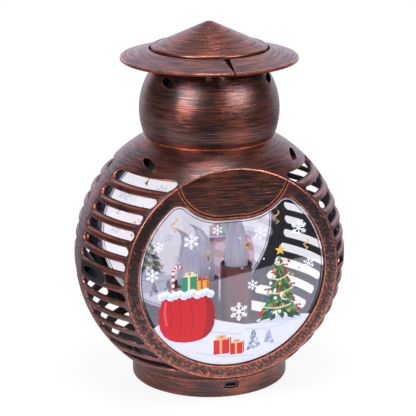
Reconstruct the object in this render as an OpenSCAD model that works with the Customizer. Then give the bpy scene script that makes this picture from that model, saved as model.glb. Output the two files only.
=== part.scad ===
/* [Body] */
// Radius of the round body
body_r = 88; // [82:0.5:94]
// Distance between the flat front face and the flat rear face
body_depth = 110; // [104:1:116]
// Wall thickness of the moulded shells
wall = 2.5; // [2:0.1:3]
// Radius of the rounded edge between the round side and a flat face
face_edge_r = 1.6; // [0.8:0.1:2.4]

/* [Head] */
// Radius of the round head
head_r = 45; // [42:0.5:48]
// How deep the head's ball sinks into the body's ball
head_sunk = 37.8; // [34:0.2:42]
// Height of the head's flat top above the head's centre
head_top_lift = 29.3; // [27:0.1:31]

/* [Windows] */
// Width of the flat ring round a window
ring_w = 8; // [6:0.5:11]
// End radius of the brow that dips into the window's top
brow_r = 28.8; // [25:0.2:32]
// Half of the brow's straight lower edge
brow_half_flat = 7.4; // [4:0.2:10]
// Distance from the face's rim down to the centre of the brow
brow_drop = 1.4; // [0:0.1:4]
// Strip of shell between the brow's groove and the window
brow_strip = 2.2; // [1.4:0.1:4]
// Rounding of the two lobes beside the brow
lobe_r = 7.5; // [5:0.5:9]
// Width of the moulded groove round the brow
groove_w = 1; // [0.6:0.1:1.6]
// Depth of the moulded groove round the brow
groove_depth = 0.8; // [0.4:0.1:1.2]
// Thickness of a window's glued flange
window_t = 1.5; // [1:0.1:2.5]
// How far the flange laps behind the shell
window_lap = 3; // [2:0.2:4.4]
// How far a window's face lies below the ring
window_sink = 1.1; // [0.4:0.1:1.8]
// Gap round a window in its opening
window_gap = 0.3; // [0.2:0.1:0.5]

/* [Louvres] */
// Height of one louvre slot
slot_h = 5.6; // [4:0.2:6.6]
// Distance between one slot and the next
slot_pitch = 9.8; // [8.8:0.2:12]
// Height left free of slots above and below
slot_free = 28; // [26:1:43]
// Distance from the parting seam to a slot
slot_from_seam = 8.5; // [6:0.5:12]
// Distance from a slot to the flat face
slot_from_face = 2.6; // [2:0.2:5]

/* [Shell screws] */
// Depth of the shoulder screws below the top of the body's ball
shoulder_drop = 19.8; // [17:0.1:22]
// Distance from the seam to the mouth of a shoulder well
shoulder_mouth = 30; // [29.5:0.5:33]
// Depth of the head screws below the head's flat top
crown_drop = 7.2; // [5.4:0.1:8]
// Distance from the seam to the mouth of a head well
crown_mouth = 22; // [18:0.5:23]
// Distance from the seam to the mouth of a waist well
waist_mouth = 26; // [22:0.5:30]
// Diameter of a shoulder or head screw boss
boss_d = 7.8; // [7.4:0.1:8]
// Diameter of a waist screw boss
waist_boss_d = 11.4; // [9:0.2:12]
// Diameter of a screw well
well_d = 5.6; // [5.5:0.1:6]
// Distance from the seam to the floor of a well
well_floor = 6; // [4:0.5:9]
// Depth of a screw's grip in the rear boss
screw_grip = 10; // [7:0.5:14]
// Diameter of a screw's shank
shank_d = 3; // [2.6:0.1:3.4]
// Diameter of a screw's head
screw_head_d = 5.2; // [4.8:0.1:5.3]
// Height of a screw's head
screw_head_h = 1.6; // [1.2:0.1:1.7]
// Length of each arm pair of a screw's cross recess
recess_l = 2.8; // [2.2:0.1:3.2]
// Width of a screw's cross recess
recess_w = 0.8; // [0.6:0.1:1]
// Depth of a screw's cross recess
recess_depth = 0.9; // [0.6:0.1:1]

/* [Base] */
// Radius of the base
base_r = 51; // [48:0.5:54]
// Wall thickness of the base housing
base_wall = 2.5; // [2:0.1:3]
// Height of the base
base_h = 11.8; // [11.2:0.1:14]
// Height of the base's lower edge above the table
base_gap = 1; // [0.6:0.1:1.6]
// Thickness of the bottom cover
cover_t = 3; // [2.8:0.1:3.6]
// Height of the neck that enters the shells
neck_h = 4.1; // [3.8:0.1:5]
// Thickness of the flange on which the candles stand
flange_t = 2.5; // [2:0.1:4]
// Gap between parts that are pushed together
fit_gap = 0.3; // [0.2:0.05:0.4]
// Radius of the bottom edge's rounding
base_edge_r = 1.2; // [0.6:0.1:2]
// Diameter of a rubber foot
foot_d = 12; // [9:0.5:14]
// Distance of the feet and cover screws from the axis
foot_ring_r = 36; // [33:0.5:38]

/* [Electronics] */
// Height of the charging socket's centre below the base's top edge
usb_drop = 3.4; // [3.2:0.1:3.8]
// Width of the charging socket
usb_w = 8.94; // [8.9:0.02:9]
// Height of the charging socket
usb_h = 3.26; // [3.2:0.02:3.3]
// Depth of the charging socket
usb_depth = 7.3; // [6.5:0.1:9]
// Margin of the cut-out round the socket
usb_margin = 0.9; // [0.4:0.1:1]
// Thickness of the circuit board
board_t = 1.2; // [1:0.1:1.6]
// Width of the circuit board
board_w = 48; // [46:1:52]
// Distance from the axis to the board's rear edge
board_back = 14; // [12:0.5:15]
// Width of the battery
cell_w = 42; // [34:1:43]
// Gap between the battery and the base's wall
cell_gap = 1.4; // [1:0.1:6]
// Thickness of the battery
cell_t = 6; // [4:0.2:6.2]
// Travel of the switch knob
switch_travel = 3; // [2:0.1:3.4]
// Length of the switch body
switch_l = 9; // [8.8:0.1:11]
// Width of the switch body
switch_w = 4; // [3.6:0.1:5]
// Sliding gap of the switch knob
slide_gap = 0.05; // [0.03:0.01:0.08]

/* [Candles] */
// Outer radius of a candle sleeve
sleeve_r = 10.3; // [9.6:0.1:11]
// Wall thickness of a candle sleeve
sleeve_t = 1.5; // [1.2:0.1:1.8]
// Rim height of the left candle above the table
left_rim_z = 65.5; // [56:0.5:72]
// Rim height of the right candle above the table
right_rim_z = 76; // [60:0.5:80]
// Rim height of the back candle above the table
back_rim_z = 61.5; // [54:0.5:72]
// Sideways distance of the front candles from the middle
front_candle_x = 16; // [14:0.5:20]
// Distance of the front candles in front of the middle
front_candle_y = 8; // [6:0.5:12]
// Sideways place of the back candle
back_candle_x = -1; // [-2:0.5:2]
// Distance of the back candle behind the middle
back_candle_y = 11; // [10:0.5:15]
// Largest radius of a flame
flame_r = 8.2; // [7:0.1:8.6]
// Height of a flame above the rim
flame_h = 38; // [28:1:42]
// How far a flame narrows towards its foot, as a share
flame_waist = 0.18; // [0:0.01:0.3]
// Sideways lean of a flame's tip
flame_lean = 9.5; // [0:0.5:12]
// Depth of the cup in which a flame stands
cup_depth = 6; // [4:0.5:8]

/* [Cap and handle] */
// Outer radius of the brim
brim_r = 56.7; // [53:0.1:60]
// Inner radius of the brim
brim_inner_r = 38.5; // [37.5:0.1:40]
// Slope of the brim, in degrees
brim_slope = 15.4; // [12:0.2:18]
// Thickness of the brim
brim_t = 2; // [1.6:0.1:2.4]
// Height of the brim's inner edge above the head's flat top
brim_lift = 9.6; // [9.2:0.1:10.4]
// Half of the notch between the halves, at the inner edge
notch_inner = 2.2; // [1.6:0.1:2.6]
// Half of the notch between the halves, at the outer edge
notch_outer = 0.4; // [0.3:0.05:1]
// Distance of each hinge rod from the middle
hinge_x = 5.4; // [5.2:0.1:6.5]
// Depth of the hinge rods below the brim's inner edge
hinge_drop = 4; // [3.8:0.1:4.2]
// Diameter of a hinge rod
rod_d = 3; // [2.4:0.1:3.4]
// Diameter of a knuckle
knuckle_d = 5.2; // [4.8:0.1:5.3]
// Running gap of a knuckle on its rod
run_gap = 0.05; // [0.03:0.01:0.08]
// Radius of the cone's rim
cone_r = 37; // [35:0.1:37.4]
// Height of the cone's rim above the head's flat top
cone_lift = 10.4; // [10.2:0.1:11.2]
// Slope of the cone, in degrees
cone_slope = 24.8; // [20:0.2:28]
// Wall thickness of the cone
cone_t = 2; // [1.6:0.1:2.4]
// Radius of the cone's rounded tip
tip_r = 7; // [2:0.2:9]
// Radius of the bead along the cone's rim
bead_r = 1.3; // [1.1:0.1:1.5]

/* [Hidden] */
$fn = 96;
cut = 0.5;
copper = "#8a4b2b";
copper_dark = "#5a3020";
face_y = body_depth / 2;
face_r = sqrt(body_r * body_r - face_y * face_y);
base_top = base_gap + base_h;
body_z = base_top + sqrt(body_r * body_r - base_r * base_r);
head_z = body_z + body_r + head_r - head_sunk;
head_top = head_z + head_top_lift;

/* Window outline: a disc whose top is cut by the brow, with rounded lobes */
window_r = face_r - ring_w;
brow_z = face_r - brow_drop;

/* Louvre rows and slot span */
slot_rows = floor((body_r - slot_free) / slot_pitch);
slot_end = face_y - slot_from_face;

/* Screw places as side distance, height, boss diameter, and the ends of boss and well */
shoulder_lift = body_r - shoulder_drop;
crown_lift = head_top_lift - crown_drop;
shoulder_x = sqrt(body_r * body_r - shoulder_lift * shoulder_lift - shoulder_mouth * shoulder_mouth);
crown_x = sqrt(head_r * head_r - crown_lift * crown_lift - crown_mouth * crown_mouth);
waist_x = sqrt(body_r * body_r - waist_mouth * waist_mouth);
shell_screw_places = [
    [shoulder_x, body_z + shoulder_lift, boss_d, shoulder_mouth + boss_d, shoulder_mouth + 2 * boss_d],
    [crown_x, head_z + crown_lift, boss_d, crown_mouth + boss_d, crown_mouth + 2 * boss_d],
    [waist_x, body_z, waist_boss_d, waist_mouth + 1.5 * waist_boss_d, waist_mouth + 2 * waist_boss_d]
];
shank_r = shank_d / 2;
clear_r = shank_r + 0.2;

/* Base levels */
neck_r = sqrt(pow(body_r - wall, 2) - pow(body_z - base_top, 2)) - fit_gap;
flange_z = base_top + neck_h;
flange_r = min(sqrt(pow(body_r - wall - fit_gap, 2) - pow(body_z - flange_z, 2)), face_y - wall - fit_gap);
deck_z = flange_z + flange_t;
deck_t = 2;
deck_r = face_y - wall - window_t - fit_gap - 0.7;
cover_z = base_gap + cover_t;
cover_r = base_r - base_wall - fit_gap;
cavity_z = base_top - base_wall;
cavity_r = neck_r - base_wall;
usb_z = base_top - usb_drop;
board_z = usb_z - usb_h / 2 - board_t;
board_r = base_r - base_wall - 2;
usb_y = base_r - 0.8;
cover_post_r = 3.4;
head_sink = 0.2;
cover_post_ring = base_r - base_wall - cover_post_r - 1.2;
cover_post_angles = [45, 135, 225, 315];
foot_angles = [0, 90, 180, 270];
foot_sink = 0.8;
board_post_r = 2.8;
board_post_x = board_w / 2 - 5;
board_post_y = [-26, 8];
board_screw_grip = 4;
cell_y = board_back + 2;
cell_l = sqrt(pow(base_r - base_wall - cell_gap, 2) - cell_w * cell_w / 4) - cell_y;
deck_post_r = 3.2;
deck_post_inset = 6;
deck_post_ring = cavity_r - deck_post_inset;
deck_post_angles = [30, 150, 270];
switch_y = -25;
switch_h = board_z - cover_z - slide_gap;
knob_w = 2;
knob_l = 3.6;
knob_head_w = 2.7;
knob_head_l = 4;
knob_head_h = 0.7;

/* Candles as x, y, rim height */
left_candle = [-front_candle_x, -front_candle_y, left_rim_z];
right_candle = [front_candle_x, -front_candle_y, right_rim_z];
back_candle = [back_candle_x, back_candle_y, back_rim_z];
sleeve_bore = sleeve_r - sleeve_t;
web_t = 4;
spigot_h = 5;
lamp_r = 2.5;
lamp_board_t = 1.2;
wire_r = 0.6;
wire_half_gap = 1.2;

/* Cap levels */
brim_z = head_top + brim_lift;
brim_fall = (brim_r - brim_inner_r) * tan(brim_slope);
hinge_z = brim_z - hinge_drop;
rod_r = rod_d / 2;
knuckle_r = knuckle_d / 2;
hub_t = 2.4;
hub_r = brim_inner_r - 2.5;
block_end = hub_r - 3.5;
knuckle_start = block_end + 0.5;
knuckle_end = brim_inner_r + 3.5;
rod_end = knuckle_end - 1;
block_half = hinge_x + 4;
block_top = hinge_z + knuckle_r + 0.4;
ledge_r = brim_inner_r + 1.5;
ledge_top = brim_z - brim_t / cos(brim_slope) - (ledge_r - brim_inner_r) * tan(brim_slope) - fit_gap;
ledge_clear_x = 12;
hub_spigot_r = 8.7;
hub_spigot_h = 6;
cone_z = head_top + cone_lift;
cone_apex = cone_z + cone_r * tan(cone_slope);
cone_boss_r = 5;
cap_screw_grip = 9;

/* Stands a flat outline (x, height) upright and makes it thick from y_front to y_back */
module upright(y_front, y_back) {
    translate([0, y_back, 0]) rotate([90, 0, 0]) linear_extrude(y_back - y_front) children();
}

module stadium(r, half_flat) {
    square([2 * half_flat, 2 * r], center = true);
    for (side = [0, 1])
        mirror([side, 0])
            translate([half_flat, 0])
                intersection() {
                    circle(r);
                    translate([0, -r]) square([r, 2 * r]);
                }
}

/* The brow's outline, grown outwards, about the body's centre */
module brow_outline(grow) {
    translate([0, brow_z]) stadium(brow_r + grow, brow_half_flat);
}

/* Centre of the circle that rounds a lobe: inside the window's circle and outside the brow's end */
lobe_a = window_r - lobe_r;
lobe_b = brow_r + brow_strip + lobe_r;
lobe_d = norm([brow_half_flat, brow_z]);
lobe_turn = acos((lobe_a * lobe_a + lobe_d * lobe_d - lobe_b * lobe_b) / (2 * lobe_a * lobe_d));
lobe_angle = atan2(brow_z, brow_half_flat) - lobe_turn;
lobe_c = lobe_a * [cos(lobe_angle), sin(lobe_angle)];

/* Wedge of the outline that a lobe's round end fills, from the lobe's centre outwards */
module lobe_wedge(grow) {
    brow_c = [brow_half_flat, brow_z];
    on_circle = lobe_c * (window_r + grow) / lobe_a;
    on_brow = brow_c + (lobe_c - brow_c) * (brow_r + brow_strip - grow) / lobe_b;
    outwards = on_circle + on_brow - 2 * lobe_c;
    polygon([lobe_c, on_circle, on_circle + 2 * outwards, on_brow + 2 * outwards, on_brow]);
}

/* The groove's outline: half a ring at each end of the brow and a straight run below it, kept on the face */
module groove_outline() {
    inner_r = brow_r - groove_w / 2;
    outer_r = brow_r + groove_w / 2;
    intersection() {
        circle(face_r - face_edge_r);
        translate([0, brow_z]) {
            for (side = [0, 1])
                mirror([side, 0])
                    translate([brow_half_flat, 0])
                        difference() {
                            intersection() {
                                circle(outer_r);
                                translate([0, -outer_r]) square([outer_r, outer_r]);
                            }
                            circle(inner_r);
                        }
            translate([-brow_half_flat, -outer_r]) square([2 * brow_half_flat, groove_w]);
        }
    }
}

/* The window's outline about the body's centre, grown outwards */
module window_outline(grow) {
    difference() {
        circle(window_r + grow);
        brow_outline(brow_strip - grow);
        for (side = [0, 1]) mirror([side, 0]) lobe_wedge(grow);
    }
    for (side = [0, 1])
        mirror([side, 0])
            intersection() {
                translate(lobe_c) circle(lobe_r + grow);
                lobe_wedge(grow);
            }
}

module at_body() {
    translate([0, 0, body_z]) children();
}

/* Half section of the body across its depth, with rounded face edges */
module body_section() {
    edge_y = face_y - face_edge_r;
    edge_x = sqrt(pow(body_r - face_edge_r, 2) - edge_y * edge_y);
    corner = [face_r, face_y];
    on_sphere = [edge_x, edge_y] * body_r / (body_r - face_edge_r);
    difference() {
        intersection() {
            circle(body_r);
            translate([0, -face_y]) square([body_r + cut, body_depth]);
        }
        for (side = [0, 1])
            mirror([0, side])
                polygon([[edge_x, edge_y], [edge_x, face_y + cut], corner + [cut, cut],
                    corner + [2 * cut, -cut], on_sphere * 1.01, on_sphere]);
    }
    for (side = [-1, 1]) translate([edge_x, side * edge_y]) circle(face_edge_r);
}

module body_solid() {
    at_body() rotate([90, 0, 0]) rotate([0, 0, -90]) rotate_extrude() body_section();
}

module body_hollow() {
    at_body()
        intersection() {
            rotate([90, 0, 0]) rotate([0, 0, -90]) sphere(body_r - wall);
            cube([2 * body_r, body_depth - 2 * wall, 2 * body_r], center = true);
        }
}

module head_ball(r) {
    translate([0, 0, head_z]) rotate([0, 0, 45]) sphere(r);
}

/* Half of the snowman outline behind the seam, cut flat at the head's top and at the base */
module shell_solid() {
    intersection() {
        union() {
            body_solid();
            head_ball(head_r);
        }
        translate([-body_r, 0, base_top]) cube([2 * body_r, body_depth, head_top - base_top]);
    }
}

module shell_hollow() {
    body_hollow();
    intersection() {
        head_ball(head_r - wall);
        translate([-head_r, -head_r, 0]) cube([2 * head_r, 2 * head_r, head_top - wall]);
    }
}

/* The louvre slots, right through both side walls */
module louvres() {
    slot_r = slot_h / 2;
    for (row = [-slot_rows : slot_rows])
        translate([0, (slot_from_seam + slot_end) / 2, body_z + row * slot_pitch])
            rotate([90, 0, 90])
                linear_extrude(2 * body_r, center = true)
                    stadium(slot_r, (slot_end - slot_from_seam) / 2 - slot_r);
}

/* A round bar backwards from the seam at a side distance and height */
module seam_bar(place, r, from, to) {
    translate([place.x, from, place.y]) rotate([-90, 0, 0]) cylinder(r = r, h = to - from);
}

module at_shell_screws() {
    for (place = shell_screw_places)
        for (side = [-1, 1]) {
            $place = [side * place.x, place.y];
            $boss_r = place[2] / 2;
            $boss_end = place[3];
            $well_end = place[4];
            children();
        }
}

/* Half of the outer shell behind the seam: skin, louvres, window opening, brow groove and screw bosses.
   The children are the screw holes in its bosses. */
module shell_half() {
    difference() {
        union() {
            difference() {
                shell_solid();
                shell_hollow();
                louvres();
            }
            intersection() {
                at_shell_screws() seam_bar($place, $boss_r, 0, $boss_end);
                shell_solid();
            }
        }
        at_body() {
            upright(face_y - wall - cut, face_y + cut) window_outline(0);
            upright(face_y - groove_depth, face_y + cut) groove_outline();
        }
        translate([0, 0, head_top - wall - cut]) cylinder(r = hub_spigot_r + fit_gap, h = wall + 2 * cut);
        children();
    }
}

/* Front half: its screws go in through wells that stay open to the front */
module front_shell() {
    color(copper)
        mirror([0, 1, 0])
            shell_half() {
                at_shell_screws() seam_bar($place, well_d / 2, well_floor, $well_end);
                at_shell_screws() seam_bar($place, clear_r, -cut, well_floor + cut);
            }
}

/* Rear half: its bosses take the screws' threads */
module rear_shell() {
    color(copper) shell_half() at_shell_screws() seam_bar($place, shank_r, -cut, screw_grip);
}

/* A pan head screw with a cross recess, pointing along +Z with its head below the origin */
module screw(grip) {
    difference() {
        translate([0, 0, -screw_head_h]) cylinder(d = screw_head_d, h = screw_head_h);
        for (turn = [0, 90])
            rotate([0, 0, turn])
                translate([-recess_l / 2, -recess_w / 2, -screw_head_h - cut])
                    cube([recess_l, recess_w, recess_depth + cut]);
    }
    cylinder(r = shank_r, h = grip);
}

module shell_screws() {
    color("#2c2a29")
        at_shell_screws()
            translate([$place.x, -well_floor, $place.y])
                rotate([-90, 0, 0]) screw(well_floor + screw_grip - 1);
}

/* A clear window: a pane in the opening, raised from a flange glued behind the shell */
module window() {
    inside = face_y - wall - window_t;
    color("#dfe6ea", 0.35)
        at_body() {
            upright(inside, face_y - wall) window_outline(window_lap);
            upright(inside + window_t / 2, face_y - window_sink) window_outline(-window_gap);
        }
}

module front_window() { mirror([0, 1, 0]) window(); }
module rear_window() { window(); }

module ring_of(angles, r) {
    for (a = angles) rotate(a) translate([r, 0, 0]) children();
}

/* Base foot ring: cup, neck inside the shells and the flange that they close over */
module base_housing() {
    color(copper_dark)
        difference() {
            union() {
                rotate_extrude()
                    difference() {
                        translate([0, base_gap]) square([base_r, base_top - base_gap]);
                        translate([base_r - base_edge_r, base_gap]) difference() {
                            translate([0, -cut]) square([base_edge_r + cut, base_edge_r + cut]);
                            translate([0, base_edge_r]) circle(base_edge_r);
                        }
                    }
                translate([0, 0, base_top - cut]) cylinder(r = neck_r, h = neck_h + 2 * cut);
                translate([0, 0, flange_z]) cylinder(r = flange_r, h = flange_t);
            }
            difference() {
                union() {
                    translate([0, 0, base_gap - cut])
                        cylinder(r = base_r - base_wall, h = cavity_z - base_gap + cut);
                    translate([0, 0, base_gap]) cylinder(r = cavity_r, h = flange_z - base_gap);
                }
                ring_of(cover_post_angles, cover_post_ring)
                    translate([0, 0, cover_z]) cylinder(r = cover_post_r, h = flange_z);
                ring_of(deck_post_angles, deck_post_ring)
                    translate([0, 0, cavity_z + 1]) cylinder(r = deck_post_r, h = flange_z);
                for (x = [-board_post_x, board_post_x], y = board_post_y)
                    translate([x, y, board_z + board_t]) cylinder(r = board_post_r, h = flange_z);
            }
            translate([0, 0, usb_z])
                upright(-base_r - cut, -base_r + usb_depth + 2.5)
                    stadium(usb_h / 2 + usb_margin, (usb_w - usb_h) / 2);
            ring_of(cover_post_angles, cover_post_ring) cylinder(r = shank_r, h = cavity_z);
            ring_of(deck_post_angles, deck_post_ring)
                translate([0, 0, cavity_z]) cylinder(r = shank_r, h = flange_z);
            for (x = [-board_post_x, board_post_x], y = board_post_y)
                translate([x, y, board_z]) cylinder(r = shank_r, h = board_t + board_screw_grip + fit_gap);
            at_wires() cylinder(r = 2 * wire_r + wire_half_gap, h = body_z);
        }
}

/* Round cover that closes the base from below, with the switch slot and seats for feet and screws */
module bottom_cover() {
    color("#241c19")
        difference() {
            translate([0, 0, base_gap]) cylinder(r = cover_r, h = cover_t);
            ring_of(cover_post_angles, cover_post_ring) {
                translate([0, 0, base_gap - cut])
                    cylinder(d = screw_head_d + 2 * fit_gap, h = screw_head_h + head_sink + cut);
                cylinder(r = clear_r, h = cover_z + cut);
            }
            ring_of(foot_angles, foot_ring_r)
                translate([0, 0, base_gap - cut]) cylinder(d = foot_d, h = foot_sink + cut);
            translate([0, switch_y, 0])
                translate([-switch_travel / 2 - knob_l / 2 - 0.4, -knob_w / 2 - 0.3, 0])
                    cube([switch_travel + knob_l + 0.8, knob_w + 0.6, cover_z + cut]);
            translate([0, switch_y, base_gap - cut])
                linear_extrude(cut + 1) stadium(4.2, switch_travel / 2 + knob_l / 2);
        }
}

module rubber_feet() {
    color("#1b1a1a")
        ring_of(foot_angles, foot_ring_r) cylinder(d = foot_d, h = base_gap + foot_sink);
}

module cover_screws() {
    color("#9a9a9a")
        ring_of(cover_post_angles, cover_post_ring)
            translate([0, 0, base_gap + screw_head_h + head_sink]) screw(cavity_z - base_gap - 3);
}

/* Board with a rounded front edge, drilled for its four screws */
module circuit_board() {
    color("#2f5a3a")
        difference() {
            translate([0, 0, board_z])
                intersection() {
                    cylinder(r = board_r, h = board_t);
                    translate([-board_w / 2, -board_r, 0]) cube([board_w, board_r + board_back, board_t]);
                }
            for (x = [-board_post_x, board_post_x], y = board_post_y)
                translate([x, y, 0]) cylinder(r = clear_r, h = board_z + board_t + cut);
        }
}

module board_screws() {
    color("#9a9a9a")
        for (x = [-board_post_x, board_post_x], y = board_post_y)
            translate([x, y, board_z]) screw(board_t + board_screw_grip);
}

/* Charging socket: a rounded shell round a flat contact tongue */
module usb_port() {
    color("#b9bbbd")
        translate([0, 0, usb_z]) {
            upright(-usb_y, -usb_y + usb_depth)
                difference() {
                    stadium(usb_h / 2, (usb_w - usb_h) / 2);
                    stadium(usb_h / 2 - 0.3, (usb_w - usb_h) / 2);
                }
            upright(-usb_y + usb_depth - 1.5, -usb_y + usb_depth)
                stadium(usb_h / 2 - 0.2, (usb_w - usb_h) / 2);
            translate([-usb_w / 2 + 1.1, -usb_y + 0.6, -0.35]) cube([usb_w - 2.2, usb_depth - 1, 0.7]);
        }
}

/* Flat rechargeable cell with rounded long edges */
module battery() {
    edge = cell_t / 2;
    color("#7c8fa8")
        translate([0, cell_y, cover_z + edge])
            upright(0, cell_l) stadium(edge, cell_w / 2 - edge);
}

module slide_switch() {
    mouth = knob_w + 2 * slide_gap;
    room = knob_head_w + 2 * slide_gap;
    run = switch_travel + knob_head_l + 0.4;
    head_z = switch_h - knob_head_h - 0.4;
    color("#3a3d40")
        translate([0, switch_y, cover_z + slide_gap])
            difference() {
                translate([-switch_l / 2, -switch_w / 2, 0]) cube([switch_l, switch_w, switch_h]);
                translate([-run / 2, -mouth / 2, -cut]) cube([run, mouth, head_z + 2 * cut]);
                translate([-run / 2, -room / 2, head_z - slide_gap])
                    cube([run, room, knob_head_h + 2 * slide_gap]);
            }
}

/* Sliding knob: a stem through the cover and a head held inside the switch */
module switch_knob() {
    head_z = cover_z + slide_gap + switch_h - knob_head_h - 0.4;
    tip_z = base_gap - 0.4;
    color("#15140f")
        translate([-switch_travel / 2, switch_y, 0]) {
            translate([-knob_l / 2, -knob_w / 2, tip_z]) cube([knob_l, knob_w, head_z - tip_z + cut]);
            translate([-knob_head_l / 2, -knob_head_w / 2, head_z])
                cube([knob_head_l, knob_head_w, knob_head_h]);
        }
}

/* Deck on which the candles stand, with a spigot for each sleeve */
module candle_deck() {
    color("#171413")
        difference() {
            union() {
                translate([0, 0, deck_z]) cylinder(r = deck_r, h = deck_t);
                for (c = [left_candle, right_candle, back_candle])
                    translate([c.x, c.y, deck_z]) cylinder(r = sleeve_bore - fit_gap, h = deck_t + spigot_h);
            }
            at_wires() cylinder(r = 2 * wire_r + wire_half_gap, h = body_z);
            ring_of(deck_post_angles, deck_post_ring) cylinder(r = clear_r, h = body_z);
        }
}

module deck_screws() {
    color("#9a9a9a")
        ring_of(deck_post_angles, deck_post_ring)
            translate([0, 0, deck_z + deck_t]) mirror([0, 0, 1]) screw(deck_t + flange_t + 3);
}

/* Candle sleeve: a tube with a rolled rim and a web that carries flame and lamp */
module candle_sleeve(c) {
    foot = deck_z + deck_t;
    web_z = c.z - cup_depth - web_t;
    color(copper)
        translate([c.x, c.y, 0])
            difference() {
                union() {
                    translate([0, 0, foot]) cylinder(r = sleeve_r, h = c.z - foot - sleeve_t / 2);
                    translate([0, 0, c.z - sleeve_t / 2])
                        rotate_extrude() translate([sleeve_r - sleeve_t / 2, 0]) circle(sleeve_t / 2 + 0.15);
                }
                translate([0, 0, foot - cut]) cylinder(r = sleeve_bore, h = web_z - foot + cut);
                translate([0, 0, web_z + web_t]) cylinder(r = sleeve_bore, h = cup_depth + web_t);
                cylinder(r = lamp_r + 0.2, h = c.z);
            }
}

module candle_sleeve_left() { candle_sleeve(left_candle); }
module candle_sleeve_right() { candle_sleeve(right_candle); }
module candle_sleeve_back() { candle_sleeve(back_candle); }

/* Width of a flame along its height, from 0 at the web to 1 at the tip */
function flame_width(t) = flame_r * cos(88 * pow(t, 1.5)) * (1 - flame_waist * pow(1 - t, 5));

/* Flame shade: a drop lofted through round sections, with a tip that flicks to one side */
module flame(c) {
    rings = 24;
    sides = 24;
    rise = cup_depth + flame_h;
    points = [
        for (i = [0 : rings], k = [0 : sides - 1])
            let (t = i / rings, r = flame_width(t), a = 360 * k / sides)
                [c.x - flame_lean * pow(t, 9) + r * cos(a), c.y + r * sin(a), c.z - cup_depth + rise * t]
    ];
    skin = [
        for (i = [0 : rings - 1], k = [0 : sides - 1])
            let (p = i * sides + k, q = i * sides + (k + 1) % sides)
                each [[p, p + sides, q], [q, p + sides, q + sides]]
    ];
    floor_face = [for (k = [0 : sides - 1]) k];
    tip_face = [for (k = [sides - 1 : -1 : 0]) rings * sides + k];
    color("#d9d6e0") polyhedron(points, concat(skin, [floor_face, tip_face]));
}

module flame_left() { flame(left_candle); }
module flame_right() { flame(right_candle); }
module flame_back() { flame(back_candle); }

/* Round lamp board with its light emitting dome under a flame */
module lamp(c) {
    color("#e8e0c0")
        translate([c.x, c.y, c.z - cup_depth - web_t]) {
            translate([0, 0, -lamp_board_t]) cylinder(r = sleeve_bore - fit_gap, h = lamp_board_t);
            cylinder(r = lamp_r, h = 1);
            translate([0, 0, 1])
                intersection() {
                    sphere(lamp_r);
                    cylinder(r = lamp_r + cut, h = lamp_r);
                }
        }
}

module lamp_left() { lamp(left_candle); }
module lamp_right() { lamp(right_candle); }
module lamp_back() { lamp(back_candle); }

module at_wires() {
    for (c = [left_candle, right_candle, back_candle])
        translate([c.x, c.y, board_z + board_t]) {
            $wire_top = c.z - cup_depth - web_t - lamp_board_t;
            children();
        }
}

/* Lamp leads from the board to each lamp, and the battery's leads */
module wiring() {
    color("#a02828") {
        at_wires()
            for (side = [-1, 1])
                translate([side * wire_half_gap, 0, 0])
                    cylinder(r = wire_r, h = $wire_top - board_z - board_t);
        for (side = [-1, 1])
            translate([side * wire_half_gap, board_back - 3, board_z + board_t + wire_r])
                rotate([-90, 0, 0]) cylinder(r = wire_r, h = 5);
    }
}

/* Hub in the head's top: spigot held between the shells, ledge for the brim and hinge block */
module cap_hub() {
    spigot_low = head_top - hub_spigot_h;
    color("#241c19")
        difference() {
            union() {
                translate([0, 0, spigot_low]) cylinder(r = hub_spigot_r, h = hub_spigot_h + hub_t);
                translate([0, 0, spigot_low]) cylinder(r = hub_spigot_r + 5, h = hub_spigot_h - wall - 0.2);
                translate([0, 0, head_top]) cylinder(r = hub_r, h = hub_t);
                difference() {
                    translate([0, 0, head_top]) cylinder(r = ledge_r, h = ledge_top - head_top);
                    translate([0, 0, head_top + hub_t]) cylinder(r = hub_r - 1, h = brim_lift);
                    cube([2 * ledge_clear_x, 4 * ledge_r, 3 * head_top], center = true);
                }
                translate([-block_half, -block_end, head_top + hub_t - cut])
                    cube([2 * block_half, 2 * block_end, block_top - head_top - hub_t + cut]);
            }
            cylinder(r = clear_r, h = block_top + cut);
            for (side = [-1, 1])
                translate([side * hinge_x, brim_r, hinge_z])
                    rotate([90, 0, 0]) cylinder(r = rod_r, h = 2 * brim_r);
        }
}

module hinge_rod(side) {
    color("#b4b6b8")
        translate([side * hinge_x, rod_end, hinge_z])
            rotate([90, 0, 0]) cylinder(r = rod_r, h = 2 * rod_end);
}

module hinge_rod_left() { hinge_rod(-1); }
module hinge_rod_right() { hinge_rod(1); }

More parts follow.
